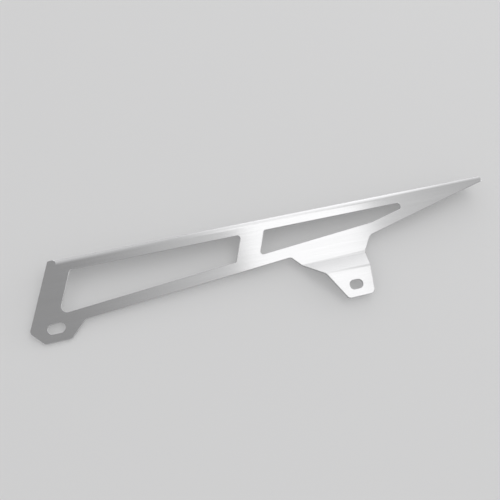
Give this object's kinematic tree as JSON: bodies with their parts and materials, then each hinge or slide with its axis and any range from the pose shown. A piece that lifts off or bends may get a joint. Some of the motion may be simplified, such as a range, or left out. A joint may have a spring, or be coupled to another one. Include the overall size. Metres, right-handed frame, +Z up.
{
  "type": "motorcycle chain guard",
  "caption": "Folded sheet-metal motorcycle chain guard with two windows, a slotted front lug and a stepped slotted rear tab.",
  "frame": {"origin": "middle of the front slot, on the web's inner face, which seats on the swingarm", "axes": "as mounted: +Z up, +X to the rear along the long fold, -Y out through the seen face, so +Y points inwards over the chain"},
  "size_m": [0.351, 0.028, 0.0724],
  "materials": {
    "brushed_sheet": "brushed along its length, edges deburred"
  },
  "bodies": {
    "root": {"chain_guard": "brushed_sheet"}
  },
  "joints": []
}
